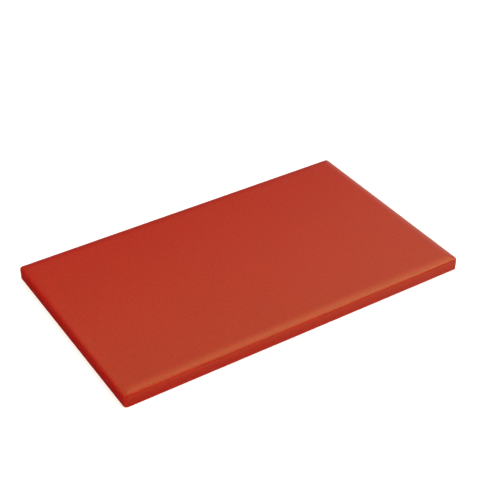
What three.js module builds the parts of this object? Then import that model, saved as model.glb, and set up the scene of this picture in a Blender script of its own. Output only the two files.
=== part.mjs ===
// A cutting board for a professional kitchen: one solid slab of red
// high-density polyethylene, cut from pressed sheet. Its four corners are
// rounded in plan, the arris of the cutting face is rounded over broadly
// all round, and the arris of the underside is only broken.
//
// Millimetres, +Z up. The origin is the middle of the underside, X runs
// along the long side and Y across the board.

import * as THREE from 'three';
import { ConvexGeometry } from 'three/addons/geometries/ConvexGeometry.js';

// Driving dimensions
const LENGTH = 500; // along X
const WIDTH = 300; // along Y
const THICKNESS = 20; // of the sheet, along Z
const CORNER_RADIUS = 5; // of the four corners, seen from above
const INNER_RADIUS = 3; // the least that a corner keeps where the upper round runs in over it
const UPPER_ROUND_ACROSS = 6; // of the upper arris, inwards along the cutting face
const UPPER_ROUND_DOWN = 9; // of the upper arris, down the edge
const LOWER_ROUND = 1; // of the lower arris, both ways

// Flats for each quarter turn of a round
const CORNER_FLATS = 8;
const UPPER_FLATS = 8;
const LOWER_FLATS = 3;

// Red polyethylene, coloured right through
const POLYETHYLENE = { color: 0xb23c2b, roughness: 0.4, metalness: 0 };

const QUARTER_TURN = Math.PI / 2;

// A round stops short of the middle of the board, and the two arrises share the edge.
const LARGEST_SHARE = 0.95;
const halfWay = (LARGEST_SHARE * Math.min(LENGTH, WIDTH)) / 2;
const cornerRadius = Math.min(CORNER_RADIUS, halfWay);
const upperAcross = Math.min(UPPER_ROUND_ACROSS, halfWay - INNER_RADIUS);
const lowerRound = Math.min(LOWER_ROUND, (LARGEST_SHARE * THICKNESS) / 2);
const upperDown = Math.min(UPPER_ROUND_DOWN, LARGEST_SHARE * (THICKNESS - lowerRound));

// The outline of the board at one height, drawn in from the full outline by
// the inset. Its corners keep their centres until only the inner radius is left.
function ringAt(inset, height) {
  const radius = Math.max(cornerRadius - inset, Math.min(cornerRadius, INNER_RADIUS));
  const arcX = LENGTH / 2 - inset - radius;
  const arcY = WIDTH / 2 - inset - radius;
  const corners = [
    [arcX, arcY],
    [-arcX, arcY],
    [-arcX, -arcY],
    [arcX, -arcY],
  ];
  const ring = [];
  corners.forEach(([centreX, centreY], turn) => {
    for (let flat = 0; flat <= CORNER_FLATS; flat += 1) {
      const angle = (turn + flat / CORNER_FLATS) * QUARTER_TURN;
      const x = centreX + radius * Math.cos(angle);
      const y = centreY + radius * Math.sin(angle);
      ring.push(new THREE.Vector3(x, y, height));
    }
  });
  return ring;
}

// The rings of a quarter-elliptical round, from the face that it meets to the
// edge. Its rise is negative where the face is the upper one.
function roundRings(face, rise, across, flats) {
  const rings = [];
  for (let flat = 0; flat <= flats; flat += 1) {
    const angle = (flat / flats) * QUARTER_TURN;
    const inset = across * (1 - Math.sin(angle));
    const height = face + rise * (1 - Math.cos(angle));
    rings.push(ringAt(inset, height));
  }
  return rings;
}

// The board is convex all over, so the hull of its rings is its surface.
function makeBoard() {
  const rings = [
    ...roundRings(0, lowerRound, lowerRound, LOWER_FLATS),
    ...roundRings(THICKNESS, -upperDown, upperAcross, UPPER_FLATS),
  ];
  const board = new THREE.Mesh(
    new ConvexGeometry(rings.flat()),
    new THREE.MeshStandardMaterial(POLYETHYLENE),
  );
  board.name = 'board';
  return board;
}

const cuttingBoard = new THREE.Group();
cuttingBoard.add(makeBoard());

export default cuttingBoard;
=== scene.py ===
"""The looks of a red polyethylene cutting board: a pressed, finely grained
cutting face and underside, and a smooth routed edge all round.

Metres, +Z up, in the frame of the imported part.
"""

import math

import bmesh
import bpy
from mathutils import Matrix, Vector, noise


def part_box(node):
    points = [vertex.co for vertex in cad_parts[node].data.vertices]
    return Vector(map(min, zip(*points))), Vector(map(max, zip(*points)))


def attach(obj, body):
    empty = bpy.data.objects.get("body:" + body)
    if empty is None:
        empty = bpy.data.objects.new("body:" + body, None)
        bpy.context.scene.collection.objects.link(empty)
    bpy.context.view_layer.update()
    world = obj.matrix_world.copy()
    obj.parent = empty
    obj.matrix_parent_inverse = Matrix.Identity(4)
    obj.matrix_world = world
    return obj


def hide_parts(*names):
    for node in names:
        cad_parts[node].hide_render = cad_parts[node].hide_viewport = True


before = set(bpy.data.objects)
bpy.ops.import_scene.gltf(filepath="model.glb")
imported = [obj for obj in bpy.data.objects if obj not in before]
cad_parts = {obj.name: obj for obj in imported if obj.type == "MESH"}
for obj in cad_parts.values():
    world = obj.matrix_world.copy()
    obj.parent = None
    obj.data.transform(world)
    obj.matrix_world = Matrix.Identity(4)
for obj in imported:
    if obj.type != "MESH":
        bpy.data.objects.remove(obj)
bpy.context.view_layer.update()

NODE = "board"
BODY = "root"

# The board's own sizes
LOW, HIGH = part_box(NODE)
HALF_LENGTH = HIGH.x
HALF_WIDTH = HIGH.y
CORNER_RADIUS = 0.005
UPPER_DOWN = 0.0055  # the upper round leaves the wall this far below the cutting face
UPPER_ACROSS = 0.018  # and runs out into the cutting face this far from the edge
UPPER_FULLNESS = 3.0  # 2 is an ellipse, more is fuller towards the arris
LOWER_ROUND = 0.001
INNER_RADIUS = 0.003  # the least that a corner keeps as it runs in over the round

# The routed finish gives way to the grain between these distances from the edge.
GRAIN_START, GRAIN_FULL = 0.007, 0.015

# How finely the mesh follows them
ROUND_STEPS = 18  # across the upper round
ARRIS_STEPS = 4  # across the lower round
BLEND_PITCH = 0.001  # where the rounded corners run out into the face
BLEND_STEPS = 4
FACE_PITCH = 0.005  # over the rest of the face
WALL_ROWS = 5  # up the flat of the edge

# The bake map holds the two faces one above the other, with the wall's strips beside them.
MAP_SIDE = 0.625  # the metres of surface along a side of the map
MAP_GAP = 0.003

# The slow unevenness of a pressed face, all of it inwards
SWELL_DEPTH = 0.00008
SWELL_LENGTH = 0.11


# ---------------------------------------------------------------- the slab

def upper_fall(gap):
    """How far the upper surface lies below the cutting face, at a distance gap from the edge."""
    short = max(0.0, 1 - gap / UPPER_ACROSS)
    return UPPER_DOWN * (1 - math.sqrt(1 - short ** UPPER_FULLNESS))


def lower_rise(gap):
    """How far the lower surface lies above the underside, at a distance gap from the edge."""
    short = max(0.0, LOWER_ROUND - gap)
    return LOWER_ROUND - math.sqrt(LOWER_ROUND ** 2 - short ** 2)


def gaps_over_round():
    """Distances from the edge, spaced by even turns of the upper round and then evenly."""
    turns = [math.pi / 2 * i / ROUND_STEPS for i in range(ROUND_STEPS)]
    over = [UPPER_ACROSS * (1 - math.cos(turn) ** (2 / UPPER_FULLNESS)) for turn in turns]
    return over + [UPPER_ACROSS + BLEND_PITCH * i for i in range(BLEND_STEPS + 1)]


def lines_across(half, gaps):
    """Grid lines from one edge of the board to the other: the gaps, then even steps."""
    inner = half - gaps[-1]
    count = math.ceil(2 * inner / FACE_PITCH)
    middle = [-inner + 2 * inner * i / count for i in range(1, count)]
    return [gap - half for gap in gaps] + middle + [half - gap for gap in reversed(gaps)]


def corner_radius_at(gap):
    """A corner keeps parallel to the outline at first, and then keeps a little radius."""
    kept = max(CORNER_RADIUS - gap, INNER_RADIUS)
    running_out = (gap - UPPER_ACROSS) / (BLEND_STEPS * BLEND_PITCH)
    return kept * min(1.0, max(0.0, 1 - running_out))


def in_plan(x, y):
    """A grid point moved onto its ring of rounded corners, and its distance from the edge."""
    gap_x, gap_y = HALF_LENGTH - abs(x), HALF_WIDTH - abs(y)
    gap, far = min(gap_x, gap_y), max(gap_x, gap_y)
    radius = corner_radius_at(gap)
    if far - gap < radius:
        turn = math.pi / 4 * (1 + (far - gap) / radius)
        far, near = gap + radius * (1 - math.cos(turn)), gap + radius * (1 - math.sin(turn))
        gap_x, gap_y = (near, far) if gap_x < gap_y else (far, near)
    return math.copysign(HALF_LENGTH - gap_x, x), math.copysign(HALF_WIDTH - gap_y, y), gap


def swell(x, y, gap, side):
    """The slow unevenness of a face, none of it at the edge."""
    wave = 0.5 + 0.5 * noise.noise(Vector((x, y, side * SWELL_LENGTH)) / SWELL_LENGTH)
    return SWELL_DEPTH * wave * min(1.0, gap / UPPER_ACROSS) ** 2


def surface_height(x, y, gap, side):
    """The height of the upper surface for side 1, or of the lower one for side -1."""
    if side > 0:
        return HIGH.z - upper_fall(gap) - swell(x, y, gap, side)
    return LOW.z + lower_rise(gap) + swell(x, y, gap, side)


def unrolled(lines, half, fall):
    """How far each grid line lies from the first along the surface, over its rounds."""
    heights = [fall(half - abs(line)) for line in lines]
    places = [0.0]
    for k in range(1, len(lines)):
        places.append(places[-1] + math.hypot(lines[k] - lines[k - 1], heights[k] - heights[k - 1]))
    return places


def add_face(shape, bake_map, ring, places):
    """One face, with the place of each of its corners in the bake map, in metres."""
    for loop, place in zip(shape.faces.new(ring).loops, places):
        loop[bake_map].uv = Vector(place) / MAP_SIDE


def make_surface(shape, bake_map, columns, rows, side, map_foot):
    """One grid of the slab, laid in the bake map from map_foot up."""
    fall = upper_fall if side > 0 else lower_rise
    across = unrolled(columns, HALF_LENGTH, fall)
    if side < 0:  # seen from below, the board's left is on the right
        across = [across[-1] - place for place in across]
    up = [map_foot + place for place in unrolled(rows, HALF_WIDTH, fall)]
    grid = []
    for x in columns:
        line = [in_plan(x, y) for y in rows]
        points = [(px, py, surface_height(px, py, gap, side)) for px, py, gap in line]
        grid.append([shape.verts.new(point) for point in points])
    for i in range(len(columns) - 1):
        for j in range(len(rows) - 1):
            cell = [(i, j), (i + 1, j), (i + 1, j + 1), (i, j + 1)][::side]
            ring = [grid[a][b] for a, b in cell]
            add_face(shape, bake_map, ring, [(across[a], up[b]) for a, b in cell])
    return grid, max(across), up[-1]


def sides_of(grid):
    """The outermost vertices of a grid by its four sides, each up to the start of the next."""
    front = [line[0] for line in grid[:-1]]
    right = grid[-1][:-1]
    back = [line[-1] for line in grid[:0:-1]]
    left = grid[0][:0:-1]
    return front, right, back, left


def make_wall(shape, bake_map, lower_sides, upper_sides, map_left):
    """The flat of the edge between the two grids, each side a strip of the bake map."""
    lower = [vert for side in lower_sides for vert in side]
    upper = [vert for side in upper_sides for vert in side]
    rings = [lower]
    for row in range(1, WALL_ROWS):
        rings.append([shape.verts.new(a.co.lerp(b.co, row / WALL_ROWS)) for a, b in zip(lower, upper)])
    rings.append(upper)
    height = upper[0].co.z - lower[0].co.z
    start = 0
    for number, side in enumerate(lower_sides):
        foot = map_left + number * (height + MAP_GAP)
        along = 0.0
        for k in range(start, start + len(side)):
            nxt = (k + 1) % len(lower)
            end = along + (lower[nxt].co - lower[k].co).length
            for row in range(WALL_ROWS):
                low, high = rings[row], rings[row + 1]
                near, far = (foot + height * (1 - (row + step) / WALL_ROWS) for step in (0, 1))
                add_face(shape, bake_map, (low[k], low[nxt], high[nxt], high[k]),
                         ((near, along), (near, end), (far, end), (far, along)))
            along = end
        start += len(side)


def make_slab():
    """The whole board as one closed mesh: two faces, their rounds and the wall between."""
    shape = bmesh.new()
    bake_map = shape.loops.layers.uv.new("OFBake")
    turns = [math.pi / 2 * step / ARRIS_STEPS for step in range(1, ARRIS_STEPS + 1)]
    gaps = sorted(gaps_over_round() + [LOWER_ROUND * (1 - math.cos(turn)) for turn in turns])
    columns = lines_across(HALF_LENGTH, gaps)
    rows = lines_across(HALF_WIDTH, gaps)
    upper, map_width, map_middle = make_surface(shape, bake_map, columns, rows, 1, MAP_GAP)
    lower = make_surface(shape, bake_map, columns, rows, -1, map_middle + MAP_GAP)[0]
    make_wall(shape, bake_map, sides_of(lower), sides_of(upper), map_width + MAP_GAP)
    mesh = bpy.data.meshes.new("slab")
    shape.to_mesh(mesh)
    shape.free()
    mesh.shade_smooth()
    slab = bpy.data.objects.new("slab", mesh)
    bpy.context.collection.objects.link(slab)
    return slab


# ------------------------------------------------------------ shader groups

class Nodes:
    """Short calls for placing and joining shader nodes in one tree."""

    def __init__(self, tree):
        self.tree = tree

    def add(self, kind, **values):
        node = self.tree.nodes.new("ShaderNode" + kind)
        for key, value in values.items():
            setattr(node, key, value)
        return node

    def link(self, source, target):
        self.tree.links.new(source, target)

    def math(self, operation, a, b=None, c=None):
        node = self.add("Math", operation=operation)
        for socket, value in zip(node.inputs, (a, b, c)):
            self.feed(socket, value)
        return node.outputs[0]

    def feed(self, socket, value):
        if value is None:
            return
        if isinstance(value, bpy.types.NodeSocket):
            self.link(value, socket)
        else:
            socket.default_value = value

    def noise(self, place, scale, detail, roughness=0.5):
        node = self.add("TexNoise")
        self.link(place, node.inputs["Vector"])
        self.feed(node.inputs["Scale"], scale)
        node.inputs["Detail"].default_value = detail
        node.inputs["Roughness"].default_value = roughness
        return node.outputs["Fac"]

    def spread(self, value, low, high, new_low=0.0, new_high=1.0):
        node = self.add("MapRange", interpolation_type="SMOOTHSTEP")
        for key, number in (("Value", value), ("From Min", low), ("From Max", high),
                            ("To Min", new_low), ("To Max", new_high)):
            self.feed(node.inputs[key], number)
        return node.outputs["Result"]


def new_group(name, inputs, outputs):
    """A shader node group with named sockets: (name, kind, default) and (name, kind)."""
    tree = bpy.data.node_groups.new(name, "ShaderNodeTree")
    for label, kind, default in inputs:
        socket = tree.interface.new_socket(label, in_out="INPUT", socket_type="NodeSocket" + kind)
        socket.default_value = default
    for label, kind in outputs:
        tree.interface.new_socket(label, in_out="OUTPUT", socket_type="NodeSocket" + kind)
    given = tree.nodes.new("NodeGroupInput")
    out = tree.nodes.new("NodeGroupOutput")
    return tree, Nodes(tree), given, out


CLOUDS_PER_METRE, SPECKS_PER_METRE = 14, 300
CLOUD_DETAIL, SPECK_DETAIL = 3, 2


def pigment_group():
    """Slow clouds and a fine speckle in the depth of the pigment."""
    tree, n, given, out = new_group(
        "pigment",
        [("Color", "Color", (1, 1, 1, 1)), ("Cloud", "Float", 0.05), ("Speckle", "Float", 0.05)],
        [("Color", "Color")])
    place = n.add("TexCoord").outputs["Object"]
    cloud = n.math("SUBTRACT", n.noise(place, CLOUDS_PER_METRE, CLOUD_DETAIL), 0.5)
    speckle = n.math("SUBTRACT", n.noise(place, SPECKS_PER_METRE, SPECK_DETAIL), 0.5)
    change = n.math("MULTIPLY", cloud, given.outputs["Cloud"])
    change = n.math("MULTIPLY_ADD", speckle, given.outputs["Speckle"], change)
    value = n.math("MULTIPLY_ADD", change, 2.0, 1.0)  # a noise swings by a half either way
    shade = n.add("HueSaturation")
    n.link(given.outputs["Color"], shade.inputs["Color"])
    n.link(value, shade.inputs["Value"])
    n.link(shade.outputs["Color"], out.inputs["Color"])
    return tree


SWELL_DETAIL, SWELL_ROUGHNESS = 2, 0.45
PEBBLE_FINENESS = 2.3  # pebbles to each swell of the grain
PEBBLE_SOFTNESS = 0.6


def grain_group():
    """The fine pebbled grain that the press leaves on a face."""
    tree, n, given, out = new_group(
        "pressed_grain",
        [("Pitch", "Float", 0.003), ("Pebbles", "Float", 0.35)],
        [("Height", "Float")])
    place = n.add("TexCoord").outputs["Object"]
    per_metre = n.math("DIVIDE", 1.0, given.outputs["Pitch"])
    swells = n.noise(place, per_metre, SWELL_DETAIL, SWELL_ROUGHNESS)
    fine_scale = n.math("MULTIPLY", per_metre, PEBBLE_FINENESS)
    cells = n.add("TexVoronoi", feature="SMOOTH_F1")
    n.link(place, cells.inputs["Vector"])
    n.link(fine_scale, cells.inputs["Scale"])
    cells.inputs["Smoothness"].default_value = PEBBLE_SOFTNESS
    pebbles = n.math("SUBTRACT", 1.0, cells.outputs["Distance"])
    mix = n.add("Mix", data_type="FLOAT")
    n.link(given.outputs["Pebbles"], mix.inputs["Factor"])
    n.link(swells, mix.inputs[2])
    n.link(pebbles, mix.inputs[3])
    n.link(mix.outputs[0], out.inputs["Height"])
    return tree


def edge_group():
    """How much of a face's own finish is left: none at its edge, all of it further in."""
    tree, n, given, out = new_group(
        "inside_edge",
        [("Half Length", "Float", 0.25), ("Half Width", "Float", 0.15),
         ("Start", "Float", 0.002), ("Full", "Float", 0.006)],
        [("Mask", "Float")])
    split = n.add("SeparateXYZ")
    n.link(n.add("TexCoord").outputs["Object"], split.inputs[0])
    gap_x = n.math("SUBTRACT", given.outputs["Half Length"], n.math("ABSOLUTE", split.outputs["X"]))
    gap_y = n.math("SUBTRACT", given.outputs["Half Width"], n.math("ABSOLUTE", split.outputs["Y"]))
    gap = n.math("MINIMUM", gap_x, gap_y)
    mask = n.spread(gap, given.outputs["Start"], given.outputs["Full"])
    n.link(mask, out.inputs["Mask"])
    return tree


RIPPLE_CHANGE = 0.12  # on its way up the wall, against the change along it
RIPPLE_DETAIL = 2


def cutter_group():
    """Faint upright ripples that the router leaves on the wall of the edge."""
    tree, n, given, out = new_group(
        "cutter_marks",
        [("Pitch", "Float", 0.004)],
        [("Height", "Float")])
    split = n.add("SeparateXYZ")
    n.link(n.add("TexCoord").outputs["Object"], split.inputs[0])
    along = n.math("ADD", split.outputs["X"], split.outputs["Y"])
    flat = n.add("CombineXYZ")
    n.link(along, flat.inputs["X"])
    n.link(n.math("MULTIPLY", split.outputs["Z"], RIPPLE_CHANGE), flat.inputs["Y"])
    ripple = n.noise(flat.outputs[0], n.math("DIVIDE", 1.0, given.outputs["Pitch"]), RIPPLE_DETAIL)
    n.link(ripple, out.inputs["Height"])
    return tree


def place_group(n, tree, **values):
    node = n.add("Group")
    node.node_tree = tree
    for key, value in values.items():
        n.feed(node.inputs[key.replace("_", " ")], value)
    return node


# ---------------------------------------------------------------- material

RED = (0.357, 0.0048, 0.0036, 1.0)
CLOUD, SPECKLE = 0.05, 0.34  # how much they change the pigment's depth
GLOSS_TINT = (0.76, 1.00, 0.36, 1.0)
PLASTIC_IOR = 1.5
EDGE_ROUGHNESS, FACE_ROUGHNESS = 0.34, 0.42
ROUGHNESS_IN_GRAIN = 0.08  # more at the foot of the grain than on top of it
ROUGHNESS_IN_MARKS = 0.06
GRAIN_PITCH, GRAIN_DEPTH = 0.0034, 0.00030
GRAIN_PEBBLES = 0.35  # the share of pebbles in the grain, the rest being swells
MARKS_PITCH = 0.004
MARKS_SHARE = 0.2  # of the cutter's ripples, against the depth of the grain
WALL_FROM, WALL_TO = 0.2 * HIGH.z, 0.5 * HIGH.z  # where the lower arris gives way to the upper round


def polyethylene():
    """Red right through: grained by the press on its faces, smooth where it was routed."""
    material = bpy.data.materials.new("red_polyethylene")
    material.use_nodes = True
    n = Nodes(material.node_tree)
    shader = material.node_tree.nodes["Principled BSDF"]
    shader.inputs["IOR"].default_value = PLASTIC_IOR
    shader.inputs["Specular Tint"].default_value = GLOSS_TINT

    pigment = place_group(n, pigment_group(), Color=RED, Cloud=CLOUD, Speckle=SPECKLE)
    n.link(pigment.outputs["Color"], shader.inputs["Base Color"])

    # The face's finish runs nearly to the arris below, and stops short of the broad round above.
    split = n.add("SeparateXYZ")
    n.link(n.add("TexCoord").outputs["Object"], split.inputs[0])
    above = n.spread(split.outputs["Z"], WALL_FROM, WALL_TO)
    start = n.math("MULTIPLY_ADD", above, GRAIN_START - 0.5 * LOWER_ROUND, 0.5 * LOWER_ROUND)
    full = n.math("MULTIPLY_ADD", above, GRAIN_FULL - 2 * LOWER_ROUND, 2 * LOWER_ROUND)
    inside = place_group(n, edge_group(), Half_Length=HALF_LENGTH, Half_Width=HALF_WIDTH,
                         Start=start, Full=full).outputs["Mask"]
    outside = n.math("SUBTRACT", 1.0, inside)

    grain = place_group(n, grain_group(), Pitch=GRAIN_PITCH, Pebbles=GRAIN_PEBBLES).outputs["Height"]
    marks = place_group(n, cutter_group(), Pitch=MARKS_PITCH).outputs["Height"]
    roughness = n.math("MULTIPLY_ADD", inside, FACE_ROUGHNESS - EDGE_ROUGHNESS, EDGE_ROUGHNESS)
    up_the_marks = n.math("SUBTRACT", marks, 0.5)
    down_the_grain = n.math("SUBTRACT", 0.5, grain)
    roughness = n.math("MULTIPLY_ADD", up_the_marks, ROUGHNESS_IN_MARKS, roughness)
    roughness = n.math("MULTIPLY_ADD", down_the_grain, ROUGHNESS_IN_GRAIN, roughness)
    n.link(roughness, shader.inputs["Roughness"])

    height = n.math("MULTIPLY", grain, inside)
    ripple = n.math("MULTIPLY", n.math("MULTIPLY", marks, outside), MARKS_SHARE)
    bump = n.add("Bump")
    bump.inputs["Distance"].default_value = GRAIN_DEPTH
    n.link(n.math("ADD", height, ripple), bump.inputs["Height"])
    n.link(bump.outputs["Normal"], shader.inputs["Normal"])
    return material


# ------------------------------------------------------------------- stage

# The paper under the board, and the light that fills it out towards its far parts
PAPER = (0.92, 0.92, 0.92, 1)
PAPER_RADIUS = 7.0
PAPER_SIDES = 96
PAPER_GLOW_NEAR, PAPER_GLOW_FAR = 0.35, 0.9
PAPER_GLOW_START, PAPER_GLOW_FULL = 0.2, 1.2

# How bright the paper's painted reflection glows in the board's gloss, a glow that only glossy rays
# see
GLOSS_IN_FRONT = 0.24  # beside the middle of the front edge
GLOSS_RISE = 0.82  # for each metre to the right of that
GLOSS_AWAY = 1.8  # more, in front of the board, once clear of its front edge
GLOSS_NEAR, GLOSS_FAR = HALF_WIDTH, HALF_WIDTH + 0.07  # it starts to rise, and has risen in full
GLOSS_BEHIND = 0.75
GLOSS_COLOR = (1.0, 1.0, 0.84, 1.0)
PAINTED_SHADE_FROM, PAINTED_SHADE_TO = HALF_LENGTH, 0.96 * HALF_LENGTH  # painted shade: left of the middle, the glow in the gloss is dark beyond the first


def mix_shaders(n, mask, first, second):
    mix = n.add("MixShader")
    n.link(mask, mix.inputs[0])
    n.link(first, mix.inputs[1])
    n.link(second, mix.inputs[2])
    return mix.outputs[0]


def floor_paper():
    """Evenly pale to the camera, and in the board's gloss a painted reflection: a glow of its own,
    with painted shade on the left.
    """
    paper = bpy.data.materials.new("floor_paper")
    paper.use_nodes = True
    paper.cycles.emission_sampling = "NONE"
    n = Nodes(paper.node_tree)
    shader = paper.node_tree.nodes["Principled BSDF"]
    shader.inputs["Base Color"].default_value = PAPER
    shader.inputs["Roughness"].default_value = 1.0
    shader.inputs["Specular IOR Level"].default_value = 0.0
    rays = n.add("LightPath")
    place = n.add("TexCoord").outputs["Object"]
    split = n.add("SeparateXYZ")
    n.link(place, split.inputs[0])

    away = n.add("VectorMath", operation="LENGTH")
    n.link(place, away.inputs[0])
    glow = n.spread(away.outputs["Value"], PAPER_GLOW_START, PAPER_GLOW_FULL,
                    PAPER_GLOW_NEAR, PAPER_GLOW_FAR)
    shader.inputs["Emission Color"].default_value = (1, 1, 1, 1)
    n.link(n.math("MULTIPLY", glow, rays.outputs["Is Camera Ray"]), shader.inputs["Emission Strength"])

    in_front = n.math("MULTIPLY_ADD", split.outputs["X"], GLOSS_RISE, GLOSS_IN_FRONT)
    ahead = n.math("MULTIPLY", split.outputs["Y"], -1.0)
    in_front = n.math("ADD", in_front, n.spread(ahead, GLOSS_NEAR, GLOSS_FAR, 0.0, GLOSS_AWAY))
    brightness = n.spread(split.outputs["Y"], -HALF_WIDTH, HALF_WIDTH, in_front, GLOSS_BEHIND)
    # Painted shade: the glow seen in the gloss goes dark towards the board's left end.
    out_of_painted_shade = n.spread(split.outputs["X"], -PAINTED_SHADE_FROM, -PAINTED_SHADE_TO)
    # Painted reflection: a glow that only glossy rays see, in place of a lit floor.
    painted_reflection_glow = n.add("Emission")
    painted_reflection_glow.inputs["Color"].default_value = GLOSS_COLOR
    n.link(n.math("MULTIPLY", out_of_painted_shade, n.math("MAXIMUM", brightness, 0.0)),
           painted_reflection_glow.inputs["Strength"])
    n.link(mix_shaders(n, rays.outputs["Is Glossy Ray"], shader.outputs[0], painted_reflection_glow.outputs[0]),
           paper.node_tree.nodes["Material Output"].inputs["Surface"])
    return paper


def make_floor():
    floor_mesh = bpy.data.meshes.new("floor")
    shape = bmesh.new()
    bmesh.ops.create_circle(shape, cap_ends=True, segments=PAPER_SIDES, radius=PAPER_RADIUS)
    shape.to_mesh(floor_mesh)
    shape.free()
    floor = bpy.data.objects.new("floor", floor_mesh)
    floor.location.z = LOW.z
    bpy.context.collection.objects.link(floor)
    floor_mesh.materials.append(floor_paper())


# Far soft lights: turn from +X and height above the floor in degrees, narrowness and strength
FAR_LIGHTS = (
    ("front_right", 333, 44, 40, 7.3),
    ("high_right", 23, 62, 40, 3.0),
    ("low_back_right", 38, 11, 40, 1.5),
    ("behind", 96, 51, 12, 0.3),
)
FILL = 0.09  # all round
BACKDROP = 1.05  # what the camera sees behind the floor

# A soft lamp at the side, which doesn't show in the gloss
LAMP_TURN, LAMP_RISE, LAMP_SPREAD = 226, 18, 20  # degrees
LAMP_POWER = 2.3  # watts on a square metre that faces it

# The softbox over the board, in metres and watts, a little warmer than the rest
BOX_CENTRE = (0.03, 0.06, 0.45)
BOX_SIZE = (1.70, 0.87)
BOX_POWER = 3.8
BOX_COLOR = (1.0, 1.0, 0.80)


def light_sky():
    """Soft lights all round, far enough away to light the whole board alike."""
    world = bpy.data.worlds.new("studio")
    bpy.context.scene.world = world
    world.use_nodes = True
    n = Nodes(world.node_tree)
    direction = n.add("TexCoord").outputs["Generated"]
    total = FILL
    for name, turn, rise, narrowness, strength in FAR_LIGHTS:
        turn, rise = math.radians(turn), math.radians(rise)
        towards = n.add("VectorMath", operation="DOT_PRODUCT", label=name)
        n.link(direction, towards.inputs[0])
        towards.inputs[1].default_value = (
            math.cos(turn) * math.cos(rise), math.sin(turn) * math.cos(rise), math.sin(rise))
        drop = n.math("MULTIPLY_ADD", towards.outputs["Value"], narrowness, -narrowness)
        total = n.math("MULTIPLY_ADD", n.math("EXPONENT", drop), strength, total)
    mix = n.add("Mix", data_type="FLOAT")
    n.link(n.add("LightPath").outputs["Is Camera Ray"], mix.inputs["Factor"])
    n.link(total, mix.inputs[2])
    mix.inputs[3].default_value = BACKDROP
    n.link(mix.outputs[0], world.node_tree.nodes["Background"].inputs["Strength"])
    world.node_tree.nodes["Background"].inputs["Color"].default_value = (1, 1, 1, 1)


def hang_side_lamp():
    sun = bpy.data.lights.new("side_lamp", "SUN")
    sun.angle = math.radians(LAMP_SPREAD)
    sun.energy = LAMP_POWER
    lamp = bpy.data.objects.new("side_lamp", sun)
    lamp.rotation_euler = (0, math.radians(90 - LAMP_RISE), math.radians(LAMP_TURN))
    lamp.visible_glossy = False
    bpy.context.collection.objects.link(lamp)


def hang_softbox():
    box = bpy.data.lights.new("overhead_box", "AREA")
    box.shape = "RECTANGLE"
    box.size, box.size_y = BOX_SIZE
    box.energy = BOX_POWER
    box.color = BOX_COLOR
    lamp = bpy.data.objects.new("overhead_box", box)
    lamp.location = BOX_CENTRE
    lamp.visible_camera = False
    bpy.context.collection.objects.link(lamp)


# ------------------------------------------------------------------ camera

# Lens and sensor in millimetres, then degrees, then metres
LENS = 85.75
SENSOR = 36.0
TURN, TILT, ROLL = -32.32, 35.98, -0.28
DISTANCE = 1.632
LOOK_AT = Vector((0.040, 0.036, 0.0))


def place_camera():
    turn, tilt, roll = (math.radians(angle) for angle in (TURN, TILT, ROLL))
    back = Vector((math.sin(turn) * math.cos(tilt), -math.cos(turn) * math.cos(tilt), math.sin(tilt)))
    facing = (-back).to_track_quat("-Z", "Y").to_matrix().to_4x4()
    data = bpy.data.cameras.new("camera")
    data.lens = LENS
    data.sensor_width = SENSOR
    camera = bpy.data.objects.new("camera", data)
    place = Matrix.Translation(LOOK_AT + back * DISTANCE)
    camera.matrix_world = place @ facing @ Matrix.Rotation(roll, 4, "Z")
    bpy.context.collection.objects.link(camera)
    bpy.context.scene.camera = camera


slab = make_slab()
slab.data.materials.append(polyethylene())
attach(slab, BODY)
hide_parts(NODE)

make_floor()
light_sky()
hang_side_lamp()
hang_softbox()
place_camera()

bpy.context.scene.view_settings.view_transform = "Standard"
